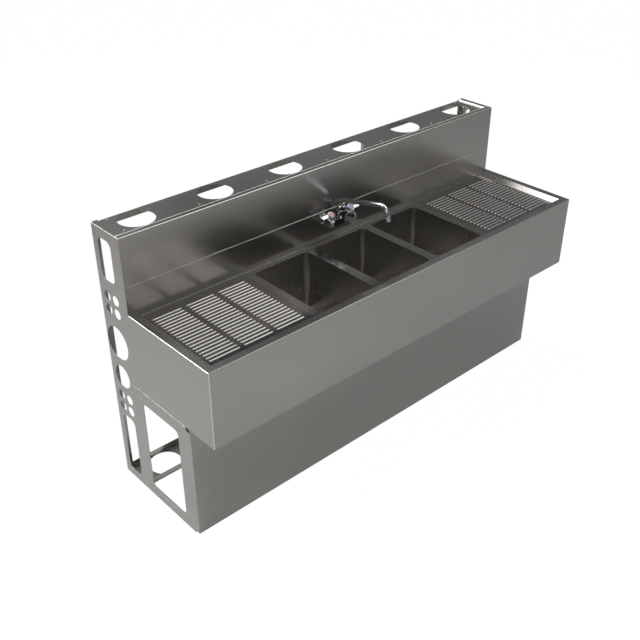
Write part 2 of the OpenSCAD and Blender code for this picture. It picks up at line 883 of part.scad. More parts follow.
// Slip nuts that hold the tailpieces to the drains
module drain_slip_nuts() {
    nut_in = tailpiece_d + 2 * drain_wall + 2 * free_gap;
    color([0.72, 0.66, 0.48]) for (i = [-1, 0, 1]) translate([bowl_x(i), y_bowl, 0])
        difference() {
            translate([0, 0, z_outlet - slip_nut_h / 2])
                cylinder(h = slip_nut_h, d = nut_in + 2 * slip_nut_wall, $fn = 8);
            translate([0, 0, z_outlet - tailpiece_lip_t])
                cylinder(h = slip_nut_h + over, d = nut_in);
            translate([0, 0, z_outlet - slip_nut_h])
                cylinder(h = slip_nut_h, d = tailpiece_d + 2 * tailpiece_swell + 2 * free_gap);
        }
}

// Moves a piece drawn about the inlet axis to its inlet, hot on the left, or to the spout
module at_inlet(side) {
    translate([side * x_valve, y_spout, z_inlet]) children();
}

// Moves a piece drawn about its stem's axis to its valve, which leans to the user
module at_valve(side) {
    translate([side * x_valve, y_valve, z_inlet]) rotate([valve_lean, 0, 0]) children();
}

// Faucet casting: two blocks with leaning barrels, a bar, two inlet arms and the spout boss
module faucet_body() {
    arm_l = spout_standoff - wall_flange_t;
    foot = -arm_d / 2;
    color([0.80, 0.80, 0.82]) difference() {
        union() {
            for (s = [-1, 1]) {
                at_inlet(s) {
                    along_x(-block_w / 2, block_w) polygon([
                        [-block_front, foot], [-block_front, -block_slope_foot],
                        [block_slope_run - block_front, block_top], [block_back, block_top],
                        [block_back, foot]
                    ]);
                    translate([0, valve_setback, 0]) rotate([-90, 0, 0])
                        cylinder(h = arm_l - valve_setback, d = arm_d);
                }
                at_valve(s) rotate_extrude() polygon([
                    [0, 0], [barrel_d / 2, 0], [barrel_d / 2, barrel_top - barrel_shoulder],
                    [barrel_neck_d / 2, barrel_top], [0, barrel_top]
                ]);
            }
            at_inlet(0) {
                along_x(-x_valve, 2 * x_valve) polygon([
                    [-bar_front, foot], [-bar_front, bar_top], [bar_back, bar_top], [bar_back, foot]
                ]);
                translate([0, 0, foot]) cylinder(h = boss_top - foot, d = boss_d);
                cylinder(h = boss_top + spigot_h, d = spigot_d);
            }
        }
        for (s = [-1, 1]) {
            at_valve(s) translate([0, 0, -cavity_foot])
                cylinder(h = cavity_foot + barrel_top + over, d = cavity_d);
            at_inlet(s) {
                translate([0, valve_setback, 0]) rotate([-90, 0, 0])
                    cylinder(h = arm_l - valve_setback + over, d = shank_bore_d);
                translate([0, arm_l - shank_socket, 0]) rotate([-90, 0, 0])
                    cylinder(h = shank_socket + over, d = shank_wide_d + 2 * free_gap);
            }
        }
        at_inlet(0) translate([0, 0, -spout_bore_foot])
            cylinder(h = spout_bore_foot + boss_top + spigot_h + over, d = spout_bore_d);
    }
}

// Flange that covers the hole in the splash
module wall_flange(side) {
    at_inlet(side) translate([0, spout_standoff - wall_flange_t, 0]) rotate([-90, 0, 0])
        rotate_extrude() polygon([
            [shank_wide_d / 2 + free_gap, 0], [arm_d / 2, 0],
            [wall_flange_d / 2, wall_flange_t - wall_flange_rim],
            [wall_flange_d / 2, wall_flange_t], [shank_wide_d / 2 + free_gap, wall_flange_t]
        ]);
}

module wall_flange_hot() {
    color([0.80, 0.80, 0.82]) wall_flange(-1);
}

module wall_flange_cold() {
    color([0.80, 0.80, 0.82]) wall_flange(1);
}

// Shank through the splash: wide under its locknut, then the end that the supply line screws on
module inlet_shank(side) {
    foot = spout_standoff - wall_flange_t - shank_socket;
    wide_l = spout_standoff - foot + sheet_t + washer_t + shank_nut_h + shank_spare;
    at_inlet(side) translate([0, foot, 0]) rotate([-90, 0, 0]) {
        tube(shank_wide_d, shank_bore_d, wide_l);
        tube(shank_d, shank_bore_d, spout_standoff - foot + sheet_t + shank_out);
    }
}

module inlet_shank_hot() {
    color([0.72, 0.66, 0.48]) inlet_shank(-1);
}

module inlet_shank_cold() {
    color([0.72, 0.66, 0.48]) inlet_shank(1);
}

// Washers behind the splash
module shank_washers() {
    color([0.75, 0.75, 0.75]) for (s = [-1, 1])
        translate([s * x_valve, y_splash + sheet_t, z_inlet]) rotate([-90, 0, 0])
            tube(washer_d, shank_wide_d + 2 * free_gap, washer_t);
}

// Hexagon locknuts that clamp the faucet to the splash
module shank_locknuts() {
    color([0.72, 0.66, 0.48]) for (s = [-1, 1])
        translate([s * x_valve, y_splash + sheet_t + washer_t, z_inlet]) rotate([-90, 0, 0])
            difference() {
                cylinder(h = shank_nut_h, d = corner_d(shank_nut_af), $fn = 6);
                translate([0, 0, -over])
                    cylinder(h = shank_nut_h + 2 * over, d = shank_wide_d + 2 * free_gap);
            }
}

// Bonnet nut that closes the barrel and guides the stem
module bonnet(side) {
    at_valve(side) difference() {
        union() {
            intersection() {
                translate([0, 0, barrel_top])
                    cylinder(h = bonnet_h, d = corner_d(bonnet_af), $fn = 6);
                translate([0, 0, barrel_top])
                    cylinder(h = bonnet_h, d1 = corner_d(bonnet_af) + bonnet_h,
                        d2 = corner_d(bonnet_af) - bonnet_edge);
            }
            translate([0, 0, barrel_top - bonnet_skirt])
                cylinder(h = bonnet_skirt, d = cavity_d - 2 * free_gap);
        }
        translate([0, 0, barrel_top - bonnet_skirt - over])
            cylinder(h = bonnet_skirt + bonnet_h + 2 * over, d = stem_d + 2 * run_gap);
    }
}

module bonnet_hot() {
    color([0.78, 0.78, 0.80]) bonnet(-1);
}

module bonnet_cold() {
    color([0.78, 0.78, 0.80]) bonnet(1);
}

// Valve cartridge between the cavity floor and the bonnet
module cartridge(side) {
    at_valve(side) translate([0, 0, -cavity_foot]) difference() {
        cylinder(h = cartridge_h, d = cavity_d - 2 * free_gap);
        translate([0, 0, cavity_foot + stem_foot - free_gap])
            cylinder(h = cartridge_h, d = stem_d + 2 * run_gap);
    }
}

module cartridge_hot() {
    color([0.85, 0.80, 0.55]) cartridge(-1);
}

module cartridge_cold() {
    color([0.85, 0.80, 0.55]) cartridge(1);
}

// Valve stem, drilled for the lever screw
module stem(side) {
    stem_l = stem_top - hub_recess - stem_foot;
    at_valve(side) translate([0, 0, stem_foot]) difference() {
        cylinder(h = stem_l, d = stem_d);
        translate([0, 0, stem_l - stem_bore_depth])
            cylinder(h = stem_bore_depth + over, d = stem_bore_d);
    }
}

module stem_hot() {
    color([0.72, 0.66, 0.48]) stem(-1);
}

module stem_cold() {
    color([0.72, 0.66, 0.48]) stem(1);
}

// Lever handle: a round hub with a tapered arm that points away from the middle
module lever(side) {
    tip = lever_l - lever_tip_w / 2;
    at_valve(side) handed(side) difference() {
        union() {
            translate([0, 0, hub_foot]) cylinder(h = hub_top - hub_foot, d = hub_d);
            translate([0, 0, lever_rise]) rotate([0, -lever_droop, 0])
                linear_extrude(height = lever_t) {
                    polygon([
                        [0, -lever_root_w / 2], [0, lever_root_w / 2],
                        [-tip, lever_tip_w / 2], [-tip, -lever_tip_w / 2]
                    ]);
                    translate([-tip, 0]) circle(d = lever_tip_w);
                }
        }
        translate([0, 0, hub_foot - over])
            cylinder(h = stem_top - hub_recess - hub_foot + over, d = stem_d + 2 * run_gap);
        translate([0, 0, hub_foot]) cylinder(h = hub_top, d = screw_d + 2 * free_gap);
        translate([0, 0, hub_top - hub_recess])
            cylinder(h = hub_recess + over, d = screw_head_d + 2 * free_gap);
    }
}

module lever_hot() {
    color([0.80, 0.80, 0.82]) lever(-1);
}

module lever_cold() {
    color([0.80, 0.80, 0.82]) lever(1);
}

// Screw that holds the lever on its stem, under the index button
module lever_screw(side) {
    at_valve(side) translate([0, 0, hub_top - hub_recess]) {
        cylinder(h = screw_head_h, d = screw_head_d);
        translate([0, 0, -screw_l]) cylinder(h = screw_l, d = screw_d);
    }
}

module lever_screw_hot() {
    color([0.70, 0.70, 0.70]) lever_screw(-1);
}

module lever_screw_cold() {
    color([0.70, 0.70, 0.70]) lever_screw(1);
}

// Round index button on top of the lever hub
module index_button(side) {
    at_valve(side) translate([0, 0, hub_top]) rotate_extrude() polygon([
        [0, 0], [hub_d / 2 - hub_wall / 2, 0], [hub_d / 2 - hub_wall / 2, index_t / 2],
        [hub_d / 2 - hub_wall, index_t], [0, index_t]
    ]);
}

module index_hot() {
    color([0.80, 0.10, 0.12]) index_button(-1);
}

module index_cold() {
    color([0.12, 0.15, 0.75]) index_button(1);
}

// Spout path, seen from the side: straight up, heel bend, rising run, toe bend, down
heel_turn = 90 - spout_rise;
toe_turn = 90 + spout_rise;
heel_z = sleeve_top + tube_stub;
run_y0 = heel_r * (1 - sin(spout_rise));
run_z0 = heel_z + heel_r * cos(spout_rise);
run_y1 = spout_reach - toe_r * (1 + sin(spout_rise));
run_l = (run_y1 - run_y0) / cos(spout_rise);
toe_z = run_z0 + run_l * sin(spout_rise) - toe_r * cos(spout_rise);

// Ring outline of the spout tube, drawn in a little where it is bent
module tube_ring(draw) {
    difference() {
        circle(d = tube_d - 2 * draw);
        circle(d = tube_d - 2 * tube_wall - 2 * draw);
    }
}

// Swing spout: a turning hub with its collar and tail, and the bent tube
module spout() {
    collar_foot = boss_top + spigot_h + free_gap;
    color([0.82, 0.82, 0.84]) at_inlet(0) {
        difference() {
            rotate_extrude() polygon([
                [0, collar_foot - spout_tail_l], [spout_tail_d / 2, collar_foot - spout_tail_l],
                [spout_tail_d / 2, collar_foot], [collar_d / 2, collar_foot],
                [collar_d / 2, collar_foot + collar_h], [spout_neck_d / 2, collar_foot + collar_h],
                [spout_neck_d / 2, nut_top + free_gap], [hub_sleeve_d / 2, nut_top + free_gap],
                [hub_sleeve_d / 2, sleeve_top - sleeve_round],
                [hub_sleeve_d / 2 - sleeve_round, sleeve_top], [0, sleeve_top]
            ]);
            translate([0, 0, collar_foot - spout_tail_l - over])
                cylinder(h = sleeve_top + spout_tail_l, d = tube_d - 2 * tube_wall - sleeve_round);
        }
        translate([0, 0, sleeve_top - tube_lap])
            linear_extrude(height = tube_stub + 2 * tube_lap) tube_ring(0);
        translate([0, -heel_r, heel_z]) rotate([90, 0, 90])
            rotate_extrude(angle = heel_turn) translate([heel_r, 0]) tube_ring(tube_draw);
        translate([0, -run_y0, run_z0]) rotate([90 - spout_rise, 0, 0])
            translate([0, 0, -tube_lap]) linear_extrude(height = run_l + 2 * tube_lap) tube_ring(0);
        translate([0, toe_r - spout_reach, toe_z]) rotate([90, 0, 90])
            rotate([0, 0, 180 - toe_turn]) rotate_extrude(angle = toe_turn)
                translate([toe_r, 0]) tube_ring(tube_draw);
    }
}

// Twelve-sided nut that holds the spout hub down on the boss
module spout_nut() {
    lip_in = spout_neck_d + 2 * run_gap;
    color([0.80, 0.80, 0.82]) at_inlet(0) difference() {
        translate([0, 0, boss_top]) cylinder(h = nut_top - boss_top, d = nut_d, $fn = nut_sides);
        translate([0, 0, boss_top - over]) cylinder(h = nut_top, d = lip_in);
        translate([0, 0, boss_top - over])
            cylinder(h = nut_top - nut_lip - boss_top + over, d = spigot_d + 2 * free_gap);
    }
}

// Rubber ring round the tail of the spout
module spout_seal() {
    color([0.10, 0.10, 0.10]) at_inlet(0) translate([0, 0, seal_rise]) rotate_extrude()
        translate([(spout_bore_d + spout_tail_d) / 4, 0]) circle(seal_r);
}

// Aerator on the end of the spout
module aerator() {
    color([0.80, 0.80, 0.82]) at_inlet(0)
        translate([0, -spout_reach, toe_z - aerator_h]) difference() {
            cylinder(h = aerator_h, d = aerator_d);
            translate([0, 0, -over]) cylinder(h = aerator_h + 2 * over, d = aerator_bore_d);
        }
}

end_panel_left();
end_panel_right();
chase_cap();
chase_floor();
chase_upright_left();
chase_upright_right();
splash_upper();
splash_lower();
drainboard_left();
drainboard_right();
bowl_deck();
front_apron();
side_apron_left();
side_apron_right();
bowl_left();
bowl_middle();
bowl_right();
deck_channel_left();
deck_channel_right();
skirt_panel();
skirt_brackets();
cap_screws();
drain_flange_left();
drain_flange_middle();
drain_flange_right();
strainer_left();
strainer_middle();
strainer_right();
tailpiece_left();
tailpiece_middle();
tailpiece_right();
drain_gaskets();
drain_locknuts();
drain_slip_nuts();
faucet_body();
wall_flange_hot();
wall_flange_cold();
inlet_shank_hot();
inlet_shank_cold();
shank_washers();
shank_locknuts();
bonnet_hot();
bonnet_cold();
cartridge_hot();
cartridge_cold();
stem_hot();
stem_cold();
lever_hot();
lever_cold();
lever_screw_hot();
lever_screw_cold();
index_hot();
index_cold();
spout();
spout_nut();
spout_seal();
aerator();
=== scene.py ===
import bpy
import math
from mathutils import Matrix, Vector


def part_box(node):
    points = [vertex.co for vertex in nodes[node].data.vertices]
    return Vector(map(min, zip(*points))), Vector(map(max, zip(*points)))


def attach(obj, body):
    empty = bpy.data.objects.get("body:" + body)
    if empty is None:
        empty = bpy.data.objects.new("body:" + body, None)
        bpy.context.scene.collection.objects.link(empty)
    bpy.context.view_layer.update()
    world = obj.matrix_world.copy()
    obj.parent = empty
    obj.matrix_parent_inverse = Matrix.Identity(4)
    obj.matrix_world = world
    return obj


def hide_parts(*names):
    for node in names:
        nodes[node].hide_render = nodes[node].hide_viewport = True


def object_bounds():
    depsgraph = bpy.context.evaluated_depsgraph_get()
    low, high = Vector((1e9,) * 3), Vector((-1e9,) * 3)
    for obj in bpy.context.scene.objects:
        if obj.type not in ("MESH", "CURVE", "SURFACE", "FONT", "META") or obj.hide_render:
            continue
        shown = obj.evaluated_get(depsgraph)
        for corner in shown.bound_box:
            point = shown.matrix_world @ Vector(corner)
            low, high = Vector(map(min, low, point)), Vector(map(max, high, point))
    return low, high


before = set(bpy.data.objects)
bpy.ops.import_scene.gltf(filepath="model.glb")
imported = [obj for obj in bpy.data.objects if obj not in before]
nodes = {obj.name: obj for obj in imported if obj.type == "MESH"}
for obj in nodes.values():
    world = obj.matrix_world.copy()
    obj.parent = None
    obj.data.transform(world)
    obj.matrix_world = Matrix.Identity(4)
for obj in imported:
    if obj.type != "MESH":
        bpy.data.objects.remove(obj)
cad_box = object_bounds()
MM = 0.001

# Places on the sink, read from its solids

left_end, front_face = cad_box[0][0], cad_box[0][1]
splash_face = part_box("splash_upper")[0].y
seam_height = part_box("splash_lower")[1].z
ledge_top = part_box("splash_upper")[1].z
ledge_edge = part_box("chase_cap")[0].y
rim_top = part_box("front_apron")[1].z

# Camera, floor and room

CAMERA_PLACE = Vector((-2.1022, -2.0923, 2.2843))
CAMERA_FORWARD = Vector((0.57013, 0.62620, -0.53181))
LENS_MM = 50
SENSOR_WIDTH_MM = 36
NEAREST_SEEN = 0.05
FLOOR_SIZE = 40
FLOOR_PAINT = 0.9
FLOOR_GLOW = 1.05
FLOOR_GLOW_SEEN = 0.94
FLOOR_GLOW_REFLECTED = 0.115
ROOM_LEVEL = 0.17

# Cards that show in reflections alone: name, middle, width and height, strength. They face CARD_TARGET.

CARD_TARGET = Vector((0, 0, 0.9))
CARDS = (
    ("back_strip", (2.0, 4.6, 0.7), (14.0, 1.4), 0.8),
    ("grey_strip", (0.6, 4.7, 2.3), (7.2, 1.7), 0.25),
    ("far_right_card", (3.4, -0.2, 3.3), (1.8, 1.2), 1.2),
    ("edge_card", (-2.5, 2.9, 2.9), (2.2, 1.6), 7.0),
    ("front_right_card", (2.0, -2.5, 2.8), (4.6, 2.0), 0.3),
    ("right_card", (1.2, -0.2, 3.3), (2.8, 2.2), 2.7),
    ("dark_card", (1.65, 2.4, 3.0), (1.8, 1.0), 0.04),
)

# Lamps: name, middle, the point they face, width and height, radiance

LAMPS = (
    ("top_softbox", (-0.6, 1.5, 3.7), (-0.2, 0.8, 0.8), (3.2, 1.2), 2.4),
    ("left_softbox", (-1.6, 0.95, 3.0), (0.88, -0.15, 0.76), (1.6, 1.2), 3.2),
    ("front_left_fill", (-3.2, -2.6, 3.2), (-1.3, -1.3, 0), (2.0, 2.0), 2.5),
)

# Colours, and how a sheet looks in a zone: share of its colour, roughness added

STEEL = (0.52, 0.505, 0.485)
FITTING_STEEL = (0.62, 0.62, 0.61)
CHROME_PLATE = (0.46, 0.46, 0.47)
BRASS = (0.66, 0.52, 0.26)
BLACK_RUBBER = (0.03, 0.03, 0.03)
SLEEVE_PLASTIC = (0.80, 0.77, 0.68)
INDEX_RED = (0.85, 0.03, 0.04)
INDEX_BLUE = (0.06, 0.08, 0.85)
INDEX_PALE = (0.95, 0.94, 0.93)
# Painted shade: the weld bead at the splash foot, its colour cut to a fifth, and rougher
WELD_PAINTED_SHADE = (0.2, 0.3)
# Painted shade: the rim's flat top made darker, its roughness unchanged
RIM_TOP_PAINTED_SHADE = (0.72, 0.0)
# Painted highlight: the colour nearly doubled along a fold's edge
PAINTED_FOLD_HIGHLIGHT = (1.9, -0.08)
# Painted highlight: the colour nearly doubled along the ledge's back edge
PAINTED_LEDGE_HIGHLIGHT = (1.9, 0.35)

# Brushed sheet: steps of the grain per metre of each axis, its depth, and the height of the slow waves

GRAIN_STRETCH = {"x": (3, 900, 900), "y": (900, 3, 900), "z": (900, 900, 3)}
GRAIN_DEPTH = 0.0012 * MM
WAVE_HEIGHT = 0.4 * MM

# Bends and edges: lengths in metres, angles in degrees

WIDE_FOLD = 3 * MM
TIGHT_FOLD = 2 * MM
LEDGE_ROLL = 1.3 * MM
LEAST_BEND_ANGLE = 25
FLAT_ANGLE = 0.7
FOLD_SEGMENTS = 4
LEAST_FLANGE = 2.2 * MM
LEAST_LEDGE_FLANGE = 0.5 * MM
BROKEN_EDGE = 0.35 * MM
EDGE_SEGMENTS = 2
SHARP_ANGLE = 40
SMOOTH_ANGLE = 35
SAME_CORNER = 0.02 * MM
ON_PLANE = 0.1 * MM

# Slots of the record's materials

SHEET = "stainless_sheet"
FITTINGS = "stainless_fittings"
CHROME = "chrome_plate"
BRASS_PARTS = "brass_parts"
RUBBER = "black_rubber"


# Shader values and finishes


class Value:
    """What a socket gives. Where it is a number, Python's operators on it add Math nodes."""

    def __init__(self, finish, socket):
        self.finish = finish
        self.socket = socket

    def output(self, name):
        """Another output of the same node."""
        return Value(self.finish, self.socket.node.outputs[name])

    def __add__(self, other):
        return self.finish.maths("ADD", self, other)

    def __radd__(self, other):
        return self.finish.maths("ADD", other, self)

    def __sub__(self, other):
        return self.finish.maths("SUBTRACT", self, other)

    def __rsub__(self, other):
        return self.finish.maths("SUBTRACT", other, self)

    def __mul__(self, other):
        return self.finish.maths("MULTIPLY", self, other)

    def __rmul__(self, other):
        return self.finish.maths("MULTIPLY", other, self)

    def __gt__(self, other):
        return self.finish.maths("GREATER_THAN", self, other)

    def __lt__(self, other):
        return self.finish.maths("LESS_THAN", self, other)

    def __or__(self, other):
        """The higher of the two, so either one of two masks."""
        return self.finish.maths("MAXIMUM", self, other)

    def ramp(self, low, high):
        """0 below low, 1 above high, smooth between them."""
        return self.finish.node("ShaderNodeMapRange", {"interpolation_type": "SMOOTHSTEP"},
                                {"Value": self, "From Min": low, "From Max": high})


def opaque(colour, share=1.0):
    """A colour as a socket takes it, made darker or lighter by the share."""
    return (*(channel * share for channel in colour), 1.0)


def grey(level):
    return opaque((level, level, level))


class Finish:
    """The nodes of a material, or of the world."""

    def __init__(self, owner):
        owner.use_nodes = True
        self.owner = owner
        self.tree = owner.node_tree
        self.tree.nodes.clear()

    def node(self, kind, settings=None, sockets=None, output=0):
        """A new node. Its settings come first, then the values or links of its sockets."""
        made = self.tree.nodes.new(kind)
        for key, value in (settings or {}).items():
            setattr(made, key, value)
        for key, value in (sockets or {}).items():
            if isinstance(value, Value):
                self.tree.links.new(value.socket, made.inputs[key])
            else:
                made.inputs[key].default_value = value
        return Value(self, made.outputs[output]) if made.outputs else None

    def maths(self, operation, *terms):
        return self.node("ShaderNodeMath", {"operation": operation}, dict(enumerate(terms)))

    def place(self, stretch=(1, 1, 1), shift=(0, 0, 0)):
        """Object coordinates, stretched along the axes."""
        coords = self.node("ShaderNodeTexCoord", output="Object")
        return self.node("ShaderNodeMapping", None,
                         {"Vector": coords, "Scale": stretch, "Location": shift})

    def noise(self, vector, scale=1.0, detail=2.0, rough=0.5):
        return self.node("ShaderNodeTexNoise", None,
                         {"Vector": vector, "Scale": scale, "Detail": detail, "Roughness": rough})

    def blend(self, share, low, high):
        return self.node("ShaderNodeMix", {"data_type": "RGBA"},
                         {"Factor": share, "A": low, "B": high}, "Result")

    def mottled(self, colour, pattern, darkest, lightest, reach=0.2):
        """The colour between two shares of itself, as the pattern rises from reach below a half
        to reach above it."""
        return self.blend(pattern.ramp(0.5 - reach, 0.5 + reach),
                          opaque(colour, darkest), opaque(colour, lightest))

    def bump(self, height, distance):
        return self.node("ShaderNodeBump", None, {"Height": height, "Distance": distance, "Strength": 1.0})

    def surface(self, shader, kind="ShaderNodeOutputMaterial"):
        """Ends the nodes with this shader."""
        self.node(kind, None, {"Surface": shader})
        return self.owner

    def skin(self, **sockets):
        """Ends the nodes with a Principled shader, its sockets written with _ for a space."""
        named = {key.replace("_", " "): value for key, value in sockets.items()}
        return self.surface(self.node("ShaderNodeBsdfPrincipled", None, named))


def new_finish(name):
    return Finish(bpy.data.materials.new(name))


def brushed_sheet(name, grain, tone=1.0, rough=0.24, zones=()):
    """Stainless sheet: fine grain along one axis, faint clouding and slow shallow waves.
    A zone is an axis, two places on it, and the look of the sheet between them; the zones paint highlights
    and shade into its colour."""
    finish = new_finish(name)
    fine = finish.noise(finish.place(GRAIN_STRETCH[grain]), detail=3, rough=0.65)
    clouds = finish.noise(finish.place((1, 1, 1.4)), scale=3.2, detail=3)
    waves = finish.noise(finish.place(), scale=2.1, detail=1)
    steel = [channel * tone for channel in STEEL]
    colour = finish.mottled(steel, 0.4 * fine + 0.6 * clouds, 0.95, 1.05, reach=0.25)
    roughness = rough + 0.05 * (fine - 0.5) + 0.05 * (clouds - 0.5)
    # Each zone paints a highlight or a shade into the colour between its two places
    for axis, low, high, (share, added) in zones:
        along = finish.node("ShaderNodeSeparateXYZ", None, {"Vector": finish.place()}, axis)
        inside = (along > low) * (along < high)
        colour = finish.blend(inside, colour, opaque(steel, share))
        roughness = roughness + inside * added
    return finish.skin(
        Base_Color=colour,
        Metallic=1.0,
        Roughness=roughness,
        Normal=finish.bump(fine * (GRAIN_DEPTH / WAVE_HEIGHT) + waves, WAVE_HEIGHT),
    )


def satin_metal(name, colour, rough=0.28):
    """Turned or cast metal with a fine even satin."""
    finish = new_finish(name)
    fine = finish.noise(finish.place(), scale=1400, detail=2)
    clouds = finish.noise(finish.place(), scale=60, detail=2)
    return finish.skin(
        Base_Color=finish.mottled(colour, clouds, 0.9, 1.08),
        Metallic=1.0,
        Roughness=rough + 0.12 * (clouds - 0.5),
        Normal=finish.bump(fine, 0.03 * MM),
    )


def bright_chrome(name, colour):
    """Chrome plate over a polished casting, with a faint ripple."""
    finish = new_finish(name)
    ripple = finish.noise(finish.place(), scale=90, detail=1)
    smear = finish.noise(finish.place(), scale=220, detail=3)
    return finish.skin(
        Base_Color=finish.mottled(colour, smear, 0.96, 1.02),
        Metallic=1.0,
        Roughness=0.04 + 0.03 * (smear - 0.5),
        Normal=finish.bump(ripple, 0.12 * MM),
    )


def dull_solid(name, colour, rough):
    """Rubber or moulded plastic with a fine pebbled skin."""
    finish = new_finish(name)
    pebble = finish.noise(finish.place(), scale=900, detail=3)
    patch = finish.noise(finish.place(), scale=70, detail=2)
    return finish.skin(
        Base_Color=finish.mottled(colour, patch, 0.82, 1.12),
        Metallic=0.0,
        Roughness=rough + 0.15 * (patch - 0.5),
        Normal=finish.bump(pebble, 0.05 * MM),
    )


def index_enamel(name, colour, centre):
    """Index button: coloured enamel inside a pale rim, with a pale ring round a pale dot."""
    finish = new_finish(name)
    coords = finish.place(shift=[-part for part in centre])
    radius = finish.node("ShaderNodeVectorMath", {"operation": "LENGTH"}, {0: coords}, "Value")
    rim = radius.ramp(9.3 * MM, 9.8 * MM)
    ring = radius.ramp(4.4 * MM, 4.8 * MM) * (1 - radius.ramp(5.8 * MM, 6.2 * MM))
    dot = 1 - radius.ramp(1.6 * MM, 2.0 * MM)
    grime = finish.noise(finish.place(), scale=500, detail=2)
    enamel = finish.mottled(colour, grime, 0.9, 1.1)
    return finish.skin(
        Base_Color=finish.blend(rim | ring | dot, enamel, opaque(INDEX_PALE)),
        Metallic=0.0,
        Roughness=0.22 + 0.1 * (grime - 0.5),
        Coat_Weight=0.5,
    )


sheet_x = brushed_sheet("brushed_sheet_lengthwise", "x")
sheet_y = brushed_sheet("brushed_sheet_crosswise", "y")
sheet_z = brushed_sheet("brushed_sheet_upright", "z")
# The bowls, the deck and the drainboards are the same steel as the other sheets, painted darker by their
# tone: painted shade
bowl_steel = brushed_sheet("drawn_bowl_steel", "z", tone=0.88, rough=0.28)
deck_steel = brushed_sheet("brushed_deck_steel", "y", tone=0.7, rough=0.18)
board_steel = brushed_sheet("brushed_board_steel", "y", tone=0.64, rough=0.14)
# The weld bead in front of the lower splash: rougher, with its colour painted dark as painted shade in the
# crease
foot_steel = brushed_sheet("splash_steel_with_shaded_foot_weld", "x", zones=[
    ("Y", front_face, splash_face - 0.3 * MM, WELD_PAINTED_SHADE),
])
# The flat top of the rim, painted darker as painted shade, and a painted highlight on the fold at the left
# end
rim_steel = brushed_sheet("apron_steel_with_shaded_rim_top_and_fold_highlight", "x", zones=[
    ("Z", rim_top - 0.5 * MM, cad_box[1][2], RIM_TOP_PAINTED_SHADE),
    ("X", left_end + 0.1 * MM, left_end + 2 * MM, PAINTED_FOLD_HIGHLIGHT),
])
# A painted highlight on the back edge of the ledge, along the cap
ledge_steel = brushed_sheet("splash_steel_with_painted_ledge_highlight", "x", zones=[
    ("Y", ledge_edge - 3 * MM, ledge_edge + 1 * MM, PAINTED_LEDGE_HIGHLIGHT),
])
# A painted highlight: a line just under the top of the end panels
panel_steel = brushed_sheet("panel_steel_with_painted_top_highlight", "z", zones=[
    ("Z", ledge_top - 0.74 * MM, ledge_top - 0.05 * MM, PAINTED_FOLD_HIGHLIGHT),
])
fitting_steel = satin_metal("satin_fittings", FITTING_STEEL)
chrome = bright_chrome("bright_chrome_plate", CHROME_PLATE)
brass = satin_metal("turned_brass", BRASS, rough=0.3)
rubber = dull_solid("black_rubber_ring", BLACK_RUBBER, rough=0.75)
sleeve_plastic = dull_solid("cartridge_sleeve", SLEEVE_PLASTIC, rough=0.45)


# Making pieces


def only(piece):
    """Selects one piece alone and makes it the active one."""
    bpy.ops.object.select_all(action="DESELECT")
    piece.select_set(True)
    bpy.context.view_layer.objects.active = piece


def edit(piece, picks):
    """Opens the piece in edit mode to pick its corners, edges or faces, with none of them selected."""
    only(piece)
    bpy.ops.object.mode_set(mode="EDIT")
    bpy.ops.mesh.select_mode(type=picks)
    bpy.ops.mesh.select_all(action="DESELECT")


def done():
    bpy.ops.object.mode_set(mode="OBJECT")


def clear_picks(piece, picks):
    """Leaves none of the piece's corners, edges or faces selected, so that a test can select some."""
    edit(piece, picks)
    done()


def merge_corners(piece, distance):
    edit(piece, "VERT")
    bpy.ops.mesh.select_all(action="SELECT")
    bpy.ops.mesh.remove_doubles(threshold=distance)
    done()


def merged_copy(name, source):
    """A copy of a CAD node, with its loose triangles merged."""
    piece = bpy.data.objects.new(name, nodes[source].data.copy())
    bpy.context.scene.collection.objects.link(piece)
    piece.data.materials.clear()
    only(piece)
    bpy.ops.mesh.customdata_custom_splitnormals_clear()
    merge_corners(piece, SAME_CORNER)
    return piece


def joined(name, lengths):
    """The lengths made into one piece."""
    bpy.ops.object.select_all(action="DESELECT")
    for length in lengths:
        length.select_set(True)
    bpy.context.view_layer.objects.active = lengths[0]
    bpy.ops.object.join()
    lengths[0].name = name
    return lengths[0]


def flatten(piece):
    """Joins the triangles of every flat face."""
    edit(piece, "EDGE")
    bpy.ops.mesh.select_all(action="SELECT")
    bpy.ops.mesh.dissolve_limited(angle_limit=math.radians(FLAT_ANGLE))
    done()


def face_width(face, mesh):
    """Rough width of a face: a long strip gives the strip's width."""
    edge_sum = sum((mesh.vertices[a].co - mesh.vertices[b].co).length for a, b in face.edge_keys)
    return 2 * face.area / edge_sum if edge_sum else 0


def outward_bends(mesh, least_width):
    """Edges where two faces bend outwards, both at least that wide."""
    sides = {}
    for face in mesh.polygons:
        for key in face.edge_keys:
            sides.setdefault(tuple(sorted(key)), []).append(face)
    bends = set()
    for key, faces in sides.items():
        if len(faces) != 2:
            continue
        one, other = faces
        sharp = one.normal.angle(other.normal, 0) >= math.radians(LEAST_BEND_ANGLE)
        outward = (other.center - one.center).dot(one.normal) <= 0
        if sharp and outward and min(face_width(one, mesh), face_width(other, mesh)) >= least_width:
            bends.add(key)
    return bends


def on_planes(*planes):
    """A test for points that lie on two or more of the planes, given as (axis, value) in metres."""
    def test(point):
        return sum(abs(point[axis] - value) < ON_PLANE for axis, value in planes) >= 2
    return test


